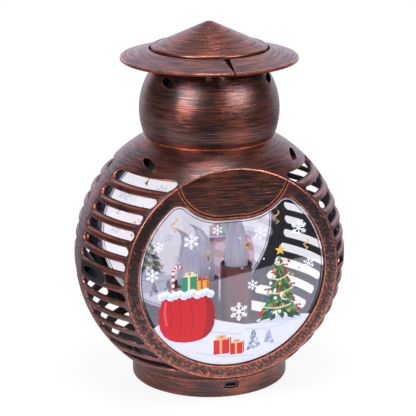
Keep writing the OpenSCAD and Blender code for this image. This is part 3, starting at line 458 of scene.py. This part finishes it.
def shell_zones(tree, spot, axes, depth, brushed, worn):
    """Bare plastic below the outer skin and on the waist bosses, rubbed strokes on the flat ring,
    and copper rubbed bright on the slats' edges, the ring's edge and the crease under the head."""
    from_body = add(tree, "ShaderNodeVectorMath", {0: spot, 1: (0, 0, body_z)},
                    operation="DISTANCE")
    from_body = add(tree, "ShaderNodeMath", {0: from_body, 1: body_r}, operation="SUBTRACT")
    from_face = add(tree, "ShaderNodeMath", {0: depth, 1: face_out}, operation="SUBTRACT")
    body_skin = add(tree, "ShaderNodeMath", {0: from_body, 1: from_face}, operation="MAXIMUM")
    from_head = add(tree, "ShaderNodeVectorMath", {0: spot, 1: (0, 0, head_z)},
                    operation="DISTANCE")
    head_skin = add(tree, "ShaderNodeMath", {0: from_head, 1: head_r}, operation="SUBTRACT")
    skin = add(tree, "ShaderNodeMath", {0: body_skin, 1: head_skin}, operation="MINIMUM")
    # The paint ends 1.3 to 1.9 mm below the skin. The corner of round and ring is rubbed.
    painted = add(tree, "ShaderNodeMapRange",
                  {"Value": skin, "From Min": -0.0019, "From Max": -0.0013})
    corner = add(tree, "ShaderNodeMath", {0: from_body, 1: from_face}, operation="MINIMUM")
    corner = add(tree, "ShaderNodeMapRange",
                 {"Value": corner, "From Min": -0.00048, "From Max": -0.00022},
                 interpolation_type="SMOOTHSTEP")
    # The crease is the circle in which the two balls meet.
    crease_r, crease_z = 0.04143, 0.16215
    crease = add(tree, "ShaderNodeVectorMath", {0: spot, 1: (1, 1, 0)}, operation="MULTIPLY")
    crease = add(tree, "ShaderNodeVectorMath", {0: crease}, operation="LENGTH")
    crease = add(tree, "ShaderNodeMath", {0: crease, 1: crease_r}, operation="SUBTRACT")
    rise = add(tree, "ShaderNodeMath", {0: axes.outputs["Z"], 1: crease_z}, operation="SUBTRACT")
    crease = add(tree, "ShaderNodeCombineXYZ", {0: crease, 2: rise})
    crease = add(tree, "ShaderNodeVectorMath", {0: crease}, operation="LENGTH")
    crease = add(tree, "ShaderNodeMapRange",
                 {"Value": crease, "From Min": 0.001, "From Max": 0.0004},
                 interpolation_type="SMOOTHSTEP")
    slats = add(tree, "ShaderNodeAttribute", attribute_name="slat_edge")
    slats = add(tree, "ShaderNodeMath", {0: slats.outputs["Fac"], 1: 0.75}, operation="MULTIPLY")
    bright = add(tree, "ShaderNodeMath", {0: corner, 1: slats}, operation="MAXIMUM")
    bright = add(tree, "ShaderNodeMath", {0: bright, 1: crease}, operation="MAXIMUM")
    worn = add(tree, "ShaderNodeMath", {0: bright, 1: worn}, operation="MAXIMUM")
    # Each waist boss of the front half has a bare eye, 11.2 mm across.
    boss_x, boss_r, boss_back = 0.0841, 0.0056, -0.0095
    side = add(tree, "ShaderNodeMath", {0: axes.outputs["X"]}, operation="ABSOLUTE")
    out = add(tree, "ShaderNodeMath", {0: side, 1: boss_x}, operation="SUBTRACT")
    lift = add(tree, "ShaderNodeMath", {0: axes.outputs["Z"], 1: body_z}, operation="SUBTRACT")
    boss = add(tree, "ShaderNodeCombineXYZ", {0: out, 2: lift})
    boss = add(tree, "ShaderNodeVectorMath", {0: boss}, operation="LENGTH")
    off_boss = add(tree, "ShaderNodeMath", {0: boss, 1: boss_r}, operation="GREATER_THAN")
    behind = add(tree, "ShaderNodeMath", {0: axes.outputs["Y"], 1: boss_back},
                 operation="GREATER_THAN")
    off_boss = add(tree, "ShaderNodeMath", {0: off_boss, 1: behind}, operation="MAXIMUM")
    painted = add(tree, "ShaderNodeMath", {0: painted, 1: off_boss}, operation="MULTIPLY")
    # The brow is a flat stadium that dips into the window's top.
    half_straight, brow_z, groove_r = 0.0074, 0.1518, 0.0288
    on_face = add(tree, "ShaderNodeMapRange",
                  {"Value": from_face, "From Min": -0.0007, "From Max": -0.0003})
    side = add(tree, "ShaderNodeMath", {0: side, 1: half_straight}, operation="SUBTRACT")
    side = add(tree, "ShaderNodeMath", {0: side, 1: 0.0}, operation="MAXIMUM")
    lift = add(tree, "ShaderNodeMath", {0: axes.outputs["Z"], 1: brow_z}, operation="SUBTRACT")
    brow = add(tree, "ShaderNodeCombineXYZ", {0: side, 2: lift})
    brow = add(tree, "ShaderNodeVectorMath", {0: brow}, operation="LENGTH")
    off_brow = add(tree, "ShaderNodeMapRange",
                   {"Value": brow, "From Min": 0.033, "From Max": 0.040})
    ring = add(tree, "ShaderNodeMath", {0: off_brow, 1: on_face}, operation="MULTIPLY")
    # The groove round the brow, 1 mm wide, keeps its black lacquer between two rubbed lips.
    groove = add(tree, "ShaderNodeMath", {0: brow, 1: groove_r}, operation="SUBTRACT")
    groove = add(tree, "ShaderNodeMath", {0: groove}, operation="ABSOLUTE")
    lips = add(tree, "ShaderNodeMath", {0: groove, 1: 0.0009, 2: 0.0004}, operation="COMPARE")
    flush = add(tree, "ShaderNodeMath", {0: from_face, 1: -0.0004}, operation="GREATER_THAN")
    lips = add(tree, "ShaderNodeMath", {0: lips, 1: flush}, operation="MULTIPLY")
    worn = add(tree, "ShaderNodeMath", {0: worn, 1: lips}, operation="MAXIMUM")
    clean = add(tree, "ShaderNodeMath", {0: groove, 1: 0.00055}, operation="GREATER_THAN")
    inland = add(tree, "ShaderNodeMath", {0: depth, 1: 0.0535}, operation="LESS_THAN")
    clean = add(tree, "ShaderNodeMath", {0: clean, 1: inland}, operation="MAXIMUM")
    worn = add(tree, "ShaderNodeMath", {0: worn, 1: clean}, operation="MULTIPLY")
    # The ring's inner lip is rubbed. Brush strokes slant down to the right, with more copper low
    # down and on the ring's two edges than along its middle.
    lip_r, middle_r, stroke_length, stroke_width = 0.0610, 0.0647, 0.003, 0.0009
    wheel = add(tree, "ShaderNodeVectorMath", {0: spot, 1: (0, 0, body_z)}, operation="SUBTRACT")
    wheel = add(tree, "ShaderNodeVectorMath", {0: wheel, 1: (1, 0, 1)}, operation="MULTIPLY")
    radius = add(tree, "ShaderNodeVectorMath", {0: wheel}, operation="LENGTH")
    lip = add(tree, "ShaderNodeMath", {0: radius, 1: lip_r, 2: 0.0004}, operation="COMPARE")
    lip = add(tree, "ShaderNodeMath", {0: lip, 1: ring}, operation="MULTIPLY")
    worn = add(tree, "ShaderNodeMath", {0: worn, 1: lip}, operation="MAXIMUM")
    middle = add(tree, "ShaderNodeMath", {0: radius, 1: middle_r}, operation="SUBTRACT")
    middle = add(tree, "ShaderNodeMath", {0: middle}, operation="ABSOLUTE")
    along = add(tree, "ShaderNodeVectorMath", {0: spot, 1: (0.77, 0, -0.64)},
                operation="DOT_PRODUCT")
    along = add(tree, "ShaderNodeMath", {0: along, 1: 1 / stroke_length}, operation="MULTIPLY")
    across = add(tree, "ShaderNodeVectorMath", {0: spot, 1: (0.64, 0, 0.77)},
                 operation="DOT_PRODUCT")
    across = add(tree, "ShaderNodeMath", {0: across, 1: 1 / stroke_width}, operation="MULTIPLY")
    strokes = add(tree, "ShaderNodeCombineXYZ", {0: along, 1: across})
    strokes = add(tree, "ShaderNodeTexNoise",
                  {"Vector": strokes, "Scale": 1.0, "Detail": 2.0, "Roughness": 0.6})
    rubbed = add(tree, "ShaderNodeMath", {0: middle, 1: 34.0, 2: strokes},
                 operation="MULTIPLY_ADD")
    rubbed = add(tree, "ShaderNodeMath", {0: axes.outputs["Z"], 1: -0.9, 2: rubbed},
                 operation="MULTIPLY_ADD")
    rubbed = add(tree, "ShaderNodeMath", {0: axes.outputs["X"], 1: 0.15, 2: rubbed},
                 operation="MULTIPLY_ADD")
    rubbed = add(tree, "ShaderNodeMapRange",
                 {"Value": rubbed, "From Min": 0.50, "From Max": 0.62},
                 interpolation_type="SMOOTHSTEP")
    mixed = add(tree, "ShaderNodeMix", {0: ring, 2: brushed, 3: rubbed}, data_type="FLOAT")
    mixed = add(tree, "ShaderNodeMath", {0: mixed, 1: clean}, operation="MULTIPLY")
    return mixed, painted, worn


shell_copper = brushed_copper("brushed_copper_shell", -0.015, shell_zones)
# The slats' edges are rounded in the mesh, which needs the two centres as exactly as in the CAD.
body_centre = Vector((0, 0, 0.0845147))
head_centre = Vector((0, 0, 0.1797147))
round_over = 0.0016


def beside_slot(place):
    """Distance from the nearest louvre slot: 13 rows, 9.8 mm apart and 5.6 mm high, 8.5 to 52.4 mm
    out from the seam."""
    pitch, middle, half_straight, end_radius = 0.0098, 0.03045, 0.01915, 0.0028
    lift = place.z - body_centre.z
    row = max(-6, min(6, round(lift / pitch)))
    past_end = max(abs(abs(place.y) - middle) - half_straight, 0.0)
    return math.hypot(past_end, lift - row * pitch) - end_radius


def on_skin(place):
    """Whether a point lies on the round of the body, above the base and off the flat ring."""
    return abs((place - body_centre).length - body_r) < 3e-5


def skin_depth(place):
    """Height of a point over the shell's outer skin: below zero inside it."""
    body = max((place - body_centre).length - body_r, abs(place.y) - face_out)
    return min(body, (place - head_centre).length - head_r)


for half in ("front", "rear"):
    bm = merged(half + "_shell")
    edge_rub = bm.verts.layers.float.new("slat_edge")
    for longest in (0.004, 0.002, 0.001, 0.0008):
        long_edges = [e for e in bm.edges
                      if e.calc_length() > longest and all(on_skin(v.co) for v in e.verts)
                      and min(beside_slot(v.co) for v in e.verts) < round_over]
        made = bmesh.ops.subdivide_edges(bm, edges=long_edges, cuts=1)["geom_inner"]
        for vert in only(bmesh.types.BMVert, made):
            vert.co = body_centre + (vert.co - body_centre).normalized() * body_r
        bmesh.ops.triangulate(bm, faces=[f for f in bm.faces if len(f.verts) > 3])
    # The round fades out within 1.2 mm of a waist boss, and is rubbed most at 62% of its width.
    boss_x, boss_r, fade, peak = 0.08407, 0.0057, 0.0012, 0.62
    for vert in bm.verts:
        if not on_skin(vert.co):
            continue
        off_boss = math.hypot(abs(vert.co.x) - boss_x, vert.co.z - body_centre.z) - boss_r
        inside = round_over - max(beside_slot(vert.co), 0.0)
        if inside > 0 and off_boss > 0:
            fall = round_over - math.sqrt(round_over ** 2 - inside ** 2)
            fall = fall * min(off_boss / fade, 1.0)
            vert[edge_rub] = max(0.0, 1.0 - abs(inside / round_over - peak) / (1.0 - peak))
            vert.co.x -= fall * body_r / vert.co.x
    bare_depth = -0.0022
    for face in bm.faces:
        if max(skin_depth(v.co) for v in face.verts) < bare_depth:
            face.material_index = 1
    shell = riding_piece("louvred_shell_" + half, bm, shell_copper, black_abs)
    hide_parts(half + "_shell")

# Shell screws: steel with a black oxide skin, dull and nearly without colour. They are sunk in six
# wells from the front and draw the two halves together.
finish_with(plated_steel("black_oxide_steel", "151414", "2c2b2c", 0.4), "shell_screws")

# Windows: clear acrylic panes with a polished face and a bead moulded round the rim, raised from
# a flange that is glued behind the shell. The bead's bright and grey lines are a painted highlight
# and painted shade.
# Clear acrylic gives the eye what stands behind it under a strong cool mirror image of the room,
# on the outer face alone, with smears of about 30 mm in its gloss.
acrylic, tree = new_material("clear_acrylic")
acrylic_ior = 1.49
spot = add(tree, "ShaderNodeTexCoord").outputs["Object"]
smear = add(tree, "ShaderNodeTexNoise", {"Vector": spot, "Scale": 30.0, "Detail": 2.0})
gloss = add(tree, "ShaderNodeMapRange", {"Value": smear, "To Min": 0.02, "To Max": 0.06})
clear = add(tree, "ShaderNodeBsdfTransparent", {"Color": linear("fcfbff")})
polish = add(tree, "ShaderNodeBsdfGlossy", {"Color": linear("f2f0ff"), "Roughness": gloss})
fresnel = add(tree, "ShaderNodeFresnel", {"IOR": acrylic_ior})
inner_side = add(tree, "ShaderNodeNewGeometry").outputs["Backfacing"]
outer_side = add(tree, "ShaderNodeMapRange", {"Value": inner_side, "To Min": 4.3, "To Max": 0.0})
shine = add(tree, "ShaderNodeMath", {0: fresnel, 1: outer_side}, operation="MULTIPLY",
            use_clamp=True)
pane = add(tree, "ShaderNodeMixShader", {0: shine, 1: clear, 2: polish})
add(tree, "ShaderNodeOutputMaterial", {"Surface": pane})
# The bead's crest has a painted highlight: a white line that wavers over 8 mm and fades low down.
bead, tree = new_material("acrylic_bead_painted_highlight")
spot = add(tree, "ShaderNodeTexCoord").outputs["Object"]
wave = add(tree, "ShaderNodeTexNoise", {"Vector": spot, "Scale": 120.0, "Detail": 2.0})
lift = add(tree, "ShaderNodeSeparateXYZ", {0: spot})
high = add(tree, "ShaderNodeMapRange",
           {"Value": lift.outputs["Z"], "From Min": 0.06, "From Max": 0.12, "To Min": 0.1})
share = add(tree, "ShaderNodeMapRange", {"Value": wave, "To Min": 0.2, "To Max": 0.95})
share = add(tree, "ShaderNodeMath", {0: share, 1: high}, operation="MULTIPLY")
clear = add(tree, "ShaderNodeBsdfTransparent", {"Color": linear("f0f0f4")})
polish = add(tree, "ShaderNodeBsdfPrincipled",
             {"Base Color": linear("f2f2f8"), "Roughness": 0.12, "IOR": acrylic_ior})
pane = add(tree, "ShaderNodeMixShader", {0: share, 1: clear, 2: polish})
add(tree, "ShaderNodeOutputMaterial", {"Surface": pane})
# The bead's steep flanks are tinted grey, a painted shade for the light they bend away: a grey line
# on either side of the bead.
flank, tree = new_material("acrylic_step_painted_shade")
painted_shade_tint = add(tree, "ShaderNodeBsdfTransparent", {"Color": linear("5a5960")})
add(tree, "ShaderNodeOutputMaterial", {"Surface": painted_shade_tint})


def outer_face(bm, outwards):
    """The large flat face of a pane that looks outwards along y."""
    return max(bm.faces, key=lambda f: f.normal.y * outwards * f.calc_area()
               + f.calc_center_median().y * outwards)


for side, outwards in (("front", -1), ("rear", 1)):
    bm = merged(side + "_window")
    bmesh.ops.dissolve_limit(bm, angle_limit=math.radians(0.5), verts=bm.verts, edges=bm.edges)
    face = outer_face(bm, outwards)
    for width, lower, look in ((0.0004, 0.0004, 2), (0.0010, 0.0002, 1), (0.0005, -0.0002, 2)):
        rim = bmesh.ops.inset_region(bm, faces=[face], thickness=width, depth=-lower,
                                     use_even_offset=True)["faces"]
        for strip in rim:
            strip.material_index = look
    pane_piece = riding_piece(side + "_pane", bm, acrylic, bead, flank)
    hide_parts(side + "_window")

# Window prints: a winter scene in matt inks, screen-printed on each pane's outer face. From outside
# the inks cover, from inside they show pale and let light through. Both panes have the same print.
film = bmesh.new()
ink = film.loops.layers.float_color.new("ink")
hand = random.Random(7)
ink_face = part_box("front_window")[0][1] + 1e-5
ink_step = 3e-5
white_ink, gold_ink = "f4f5fb", "ddab5e"


def on_pane(x, z, layer):
    """A point given in millimetres right of and above the window's centre. Layer 0 is on top, and
    layer 12.5 lies on the pane."""
    return x / 1000, ink_face + layer * ink_step, body_z + z / 1000


def cut_out(outline, colour, layer):
    """Prints a filled shape."""
    face = film.faces.new([film.verts.new(on_pane(x, z, layer)) for x, z in outline])
    for loop in face.loops:
        loop[ink] = linear(colour)
    return face


def dot(x, z, radius, colour, layer, tall=1.0):
    """Prints a round or oval dot."""
    place = Matrix.Translation(on_pane(x, z, layer))
    place = place @ Matrix.Rotation(math.pi / 2, 4, "X") @ Matrix.Diagonal((1, tall, 1, 1))
    made = bmesh.ops.create_circle(film, cap_ends=True, radius=radius / 1000, segments=16,
                                   matrix=place)
    for face in {f for v in made["verts"] for f in v.link_faces}:
        for loop in face.loops:
            loop[ink] = linear(colour)


def band(points, width, colour, layer):
    """Prints a band of even width along a line of points."""
    ahead = points[1:] + [points[-1]]
    behind = points[:1] + points[:-1]
    left, right = [], []
    for here, after, before in zip(points, ahead, behind):
        along = Vector(after) - Vector(before)
        square = Vector((-along.y, along.x)).normalized() * width / 2
        left.append(Vector(here) + square)
        right.append(Vector(here) - square)
    cut_out(left + right[::-1], colour, layer)


def snowflake(x, z, radius, layer):
    """Prints a six-armed flake: one arm with two pairs of twigs, turned round the middle."""
    centre = Vector((x, z))
    arm = []
    for start, end, width in (((0, 0), (0, 1), 0.15), ((0, 0.42), (0.26, 0.66), 0.12),
                              ((0, 0.42), (-0.26, 0.66), 0.12), ((0, 0.68), (0.2, 0.88), 0.11),
                              ((0, 0.68), (-0.2, 0.88), 0.11)):
        a, b = Vector(start) * radius, Vector(end) * radius
        square = Vector((a.y - b.y, b.x - a.x)).normalized() * width * radius / 2
        a, b = centre + a, centre + b
        arm.append(cut_out([a + square, a - square, b - square, b + square],
                           white_ink, layer + 0.04 * len(arm)))
    bmesh.ops.spin(film, geom=arm, cent=(x / 1000, 0, body_z + z / 1000), axis=(0, 1, 0),
                   angle=math.radians(300), steps=5, use_duplicate=True)
    dot(x, z, radius * 0.2, white_ink, layer - 0.1)


def fir(x, foot, height, half_width, greens, layer, sprays):
    """Prints a fir from hanging sprays, the lowest first."""
    for k in range(sprays):
        up = k / sprays
        spread = half_width * (1 - up) ** 0.9 + 0.4
        side = hand.uniform(-1, 1)
        root = Vector((x + side * spread * 0.45, foot + height * (0.1 + 0.86 * up)))
        sway = hand.uniform(-0.6, 0.6)
        drop = height * hand.uniform(0.07, 0.13)
        tip = root + Vector((side * spread * 0.55 + sway, -drop))
        along = tip - root
        wide = Vector((-along.y, along.x)).normalized() * (0.7 + height * 0.02) * (1.2 - 0.6 * up)
        middle = root.lerp(tip, 0.45)
        cut_out([root, middle + wide, tip, middle - wide], hand.choice(greens), layer - k * 0.04)


def gift(x, foot, width, height, box, shade, ribbon, layer):
    """Prints a wrapped box with a lid, a crossed ribbon and a two-looped bow."""
    deep = width * 0.22
    rise = deep * 0.7
    right, top = x + width, foot + height
    back = right + deep
    cut_out([(x, foot), (right, foot), (right, top), (x, top)], box, layer)
    cut_out([(right, foot), (back, foot + rise), (back, top + rise), (right, top)], shade, layer)
    cut_out([(x, top), (right, top), (back, top + rise), (x + deep, top + rise)], ribbon, layer)
    middle, flank = x + width * 0.5, right + deep * 0.5
    band([(middle, foot), (middle, top)], width * 0.16, ribbon, layer - 0.3)
    band([(flank, foot + rise / 2), (flank, top + rise / 2)], deep * 0.3, ribbon, layer - 0.3)
    for turn in (-1, 1):
        dot(x + width * (0.55 + 0.17 * turn), top + deep * 1.1, width * 0.17, ribbon,
            layer - 0.4, 0.7)
    dot(x + width * 0.55, top + deep * 0.95, width * 0.1, "c98a4a", layer - 0.6)


# Snow: a drift across the bottom, with a shaded hollow and lit crests.
drift = [(-51.5, -31), (-44, -26), (-34, -24.5), (-20, -26), (-6, -30.5), (8, -34), (20, -34),
         (34, -30), (51.5, -31)]
pane_r = 60.2
bottom = [(pane_r * math.cos(math.radians(a)), pane_r * math.sin(math.radians(a)))
          for a in range(-31, -150, -3)]
cut_out(drift + bottom, "dfe0f1", 12)
band([(-40, -33), (-24, -34.5), (-8, -38), (6, -40.5)], 1.2, "cdd0e8", 11.5)
band([(8, -37), (22, -38.5), (36, -35.5)], 1.0, "cdd0e8", 11.5)
band([(-24, -50), (-8, -54), (14, -55.5)], 1.4, "d0d3ea", 11.5)

# Fir: dark sprays, cream garlands, baubles, bows and a gold star.
tree_x = 31
dot(tree_x, -32.5, 15.5, "cfd2e4", 11, 0.16)
fir(tree_x, -33, 45, 16, ("2c5132", "35663b", "47804a", "6a9b5c", "24432c"), 10.5, 130)
low_baubles = ("c21f30", "3c63b4", "eef0f7", "d8a43e")
high_baubles = ("eef0f7", "c21f30", "d8a43e", "3c63b4")
for row in range(4):
    reach, lift = 12.5 - 2.9 * row, -26 + 9.5 * row
    garland = [(tree_x + reach * (s / 6 - 1), lift + 3.0 * (s / 6 - 1) ** 2 + 0.2 * s)
               for s in range(13)]
    band(garland, 0.8, "ecd9ae", 5.4)
    for k in range(5 - row):
        x = tree_x + reach * (0.9 if row else 1.0) * (k / max(4 - row, 1) - 0.5) * 2
        dot(x, lift - 1.6 + hand.uniform(-1.2, 1.2), 1.15, low_baubles[(k + row) % 4], 5)
        dot(x + 2.4, lift + 3.6 + hand.uniform(-1, 1), 0.95, high_baubles[k % 4], 4.8)
for x, z in ((18.5, -27), (43.5, -24), (22.5, -12), (39.5, -9.5), (27, -1), (34.5, 3.5)):
    for turn in (-1, 1):
        dot(x + 0.95 * turn, z, 0.95, "cf1f36", 4.5, 0.75)
star = [(tree_x + r * math.sin(a * math.pi / 5), 13.5 + r * math.cos(a * math.pi / 5))
        for a, r in enumerate((3.8, 1.6) * 5)]
cut_out(star, "e9c24c", 4.2)

# Two pale far firs on the drift.
fir(14, -51, 14, 5.4, ("8799a8", "a3b3c1", "667d8c", "bccad6"), 10.5, 70)
fir(24, -48.5, 10, 4.0, ("a3a9c4", "b8bed6", "8b92b4"), 10.5, 60)

# Sack: red cloth with a white fur edge, folds, and gifts and a striped cane above it.
stripes = ("d3202c", "f1f2f8")
crook_x, crook_z, crook_r, cane_width = -35.5, 5.0, 3.2, 1.7
for k in range(7):
    bend = [(crook_x + crook_r * math.cos(a), crook_z + crook_r * math.sin(a))
            for a in (math.pi - k * 0.35, math.pi - k * 0.35 - 0.36)]
    band(bend, cane_width, stripes[k % 2], 9)
for k in range(7):
    stem = [(crook_x - crook_r, crook_z - 2.0 * end) for end in (k, k + 1)]
    band(stem, cane_width, stripes[(k + 1) % 2], 9)
gift(-33, -9, 9, 10, "2f8f6b", "1f6c50", "ecd9ae", 9)
gift(-23.5, -9, 6.5, 7, "e2a648", "b97c2c", "c81f2e", 8.6)
lit_side = [(-44.5, -10), (-46.2, -14), (-47.3, -18.5), (-48, -23.5), (-48, -28.5), (-47, -33),
            (-44.8, -36.8), (-41.5, -39.6), (-37, -41.4), (-31.5, -42.3), (-26, -42.2)]
dark_side = [(-21, -41.3), (-17, -39.3), (-14, -36.2), (-12.2, -32), (-11.6, -27), (-12, -22),
             (-13.2, -17), (-14.8, -13), (-16, -10)]
shadow = [(-19, -10), (-17.6, -16), (-17, -23), (-17.4, -30), (-18.8, -36)]
cut_out(lit_side + dark_side, "cb1822", 7)
cut_out(dark_side + shadow, "a3121c", 6.7)
for x, low, high in ((-40, -33, -13), (-33.5, -38, -15), (-26, -37, -16)):
    band([(x - 1.2, high), (x, (low + high) / 2), (x - 0.8, low)], 0.8, "b21a24", 6.6)
band([(-43.5, -14), (-44.2, -22), (-43, -30)], 1.4, "e8545a", 6.5)
for k in range(12):
    dot(-46 + 2.85 * k, -10.4 + 0.9 * math.sin(k * 2.1), 2.6, "eef1fa", 6 - 0.05 * k)
    dot(-45.4 + 2.85 * k, -11.6 + 0.9 * math.sin(k * 2.1), 1.5, "cdd9ee", 5.3 - 0.05 * k)

# Gifts on the snow.
gift(-12.5, -52.5, 9.5, 9.5, "d3222c", "a8161f", "e9b67c", 9)
gift(-1.5, -53.5, 7.5, 7.5, "d3222c", "a8161f", "e9b67c", 8)

# Flakes, gold curls and dots in the air.
for x, z, radius in ((-27, 24, 5.2), (-48, 22, 3.6), (4, -25, 6.2), (18, 26, 4.6), (43, 27, 5.4),
                     (50, 3, 4.0), (-52, 4, 4.4), (-10, 30, 3.4), (13, -8, 3.6)):
    snowflake(x, z, radius, 3)
for x, z, size in ((-38, 33, 4.5), (-16, 12, 4.0), (28, 33, 4.2), (9, 17, 3.4), (48, 14, 3.2)):
    curl = [(x + size * 0.45 * math.sin(s * 0.75),
             z + size * (s / 6 - 0.5) + 0.4 * math.sin(s * 1.3)) for s in range(13)]
    band(curl, 0.8, gold_ink, 3)
for k in range(14):
    a, r = hand.uniform(0, math.pi), hand.uniform(8, 50)
    x, z = r * math.cos(a), r * math.sin(a)
    clear_of_brow = math.hypot(abs(x) - 7.4, z - 67.3) > 36
    if clear_of_brow:
        dot(x, z - 6, hand.uniform(0.35, 0.7), (gold_ink, white_ink)[k % 2], 2.6)

# Screen-printed ink gives the eye flat matt colour with a grain of 0.7 mm. From inside it looks
# like a pale milk that lets three quarters of the light through.
printed, tree = new_material("screen_printed_ink")
paint = add(tree, "ShaderNodeAttribute", attribute_name="ink").outputs["Color"]
spot = add(tree, "ShaderNodeTexCoord").outputs["Object"]
raster = add(tree, "ShaderNodeTexNoise", {"Vector": spot, "Scale": 1400.0, "Detail": 2.0})
tone = add(tree, "ShaderNodeMapRange", {"Value": raster, "To Min": 0.86, "To Max": 1.08})
mottled = add(tree, "ShaderNodeVectorMath", {0: paint, "Scale": tone}, operation="SCALE")
inner_side = add(tree, "ShaderNodeNewGeometry").outputs["Backfacing"]
milk = add(tree, "ShaderNodeMath", {0: inner_side, 1: 0.75}, operation="MULTIPLY")
tint = add(tree, "ShaderNodeMix", {0: milk, 6: mottled, 7: linear("eeecf2")}, data_type="RGBA")
matt = add(tree, "ShaderNodeBsdfPrincipled", {"Base Color": tint, "Roughness": 0.45})
pale = add(tree, "ShaderNodeMix", {0: 0.6, 6: paint, 7: linear("ffffff")}, data_type="RGBA")
thin = add(tree, "ShaderNodeBsdfTransparent", {"Color": pale})
print_layer = add(tree, "ShaderNodeMixShader", {0: milk, 1: matt, 2: thin})
add(tree, "ShaderNodeOutputMaterial", {"Surface": print_layer})
for face in film.faces:
    face.normal_update()
    if face.normal.y > 0:
        face.normal_flip()
bmesh.ops.triangulate(film, faces=film.faces)
for side, turn in (("front", 0.0), ("rear", math.pi)):
    turned = film.copy()
    bmesh.ops.rotate(turned, cent=(0, 0, 0), matrix=Matrix.Rotation(turn, 3, "Z"),
                     verts=turned.verts)
    riding_piece(side + "_print", turned, printed)
film.free()

# Cap hub: a black ABS turning with a ledge for the brim and blind bores for the hinge rods, which
# are drawn steel. One screw from inside the head holds it to the cone.
finish_with(black_abs, "cap_hub")
finish_with(zinc_plated, "hinge_rod_left", "hinge_rod_right", "cap_screw")

# Handle halves: the split brim, two ABS mouldings that swing up on steel rods into a carrying
# handle. Brushed copper, with the brush marks running round the brim.


def rubbed_rim(node, rub):
    """A zone that is rubbed by a share of full bright within about a millimetre of a node's round
    rim, and keeps its lacquer under it."""
    low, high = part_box(node)
    radius = max(high[0], -low[0])

    def zone(tree, spot, axes, depth, brushed, worn):
        flat = add(tree, "ShaderNodeVectorMath", {0: spot, 1: (1, 1, 0)}, operation="MULTIPLY")
        reach = add(tree, "ShaderNodeVectorMath", {0: flat}, operation="LENGTH")
        near = add(tree, "ShaderNodeMapRange",
                   {"Value": reach, "From Min": radius - 0.0016, "From Max": radius - 0.0005},
                   interpolation_type="SMOOTHSTEP")
        worn = add(tree, "ShaderNodeMath", {0: near, 1: worn}, operation="MAXIMUM")
        above = add(tree, "ShaderNodeMapRange",
                    {"Value": axes.outputs["Z"], "From Min": low[2] + 0.0006,
                     "From Max": low[2] + 0.0013, "To Max": rub})
        worn = add(tree, "ShaderNodeMath", {0: worn, 1: above}, operation="MULTIPLY")
        return brushed, None, worn
    return zone


brim_copper = brushed_copper("brushed_copper_brim", 0.01, rubbed_rim("handle_right", 0.8), 0.0007)
finish_with(brim_copper, "handle_left", "handle_right")

# Cone cap: a thin ABS cone with a rolled bead, in brushed copper like the brim but hardly rubbed
# at its rim. A screw from inside the head holds it.
cone_copper = brushed_copper("brushed_copper_cone", 0.035, rubbed_rim("cap_cone", 0.2), 0.0006)
finish_with(cone_copper, "cap_cone")
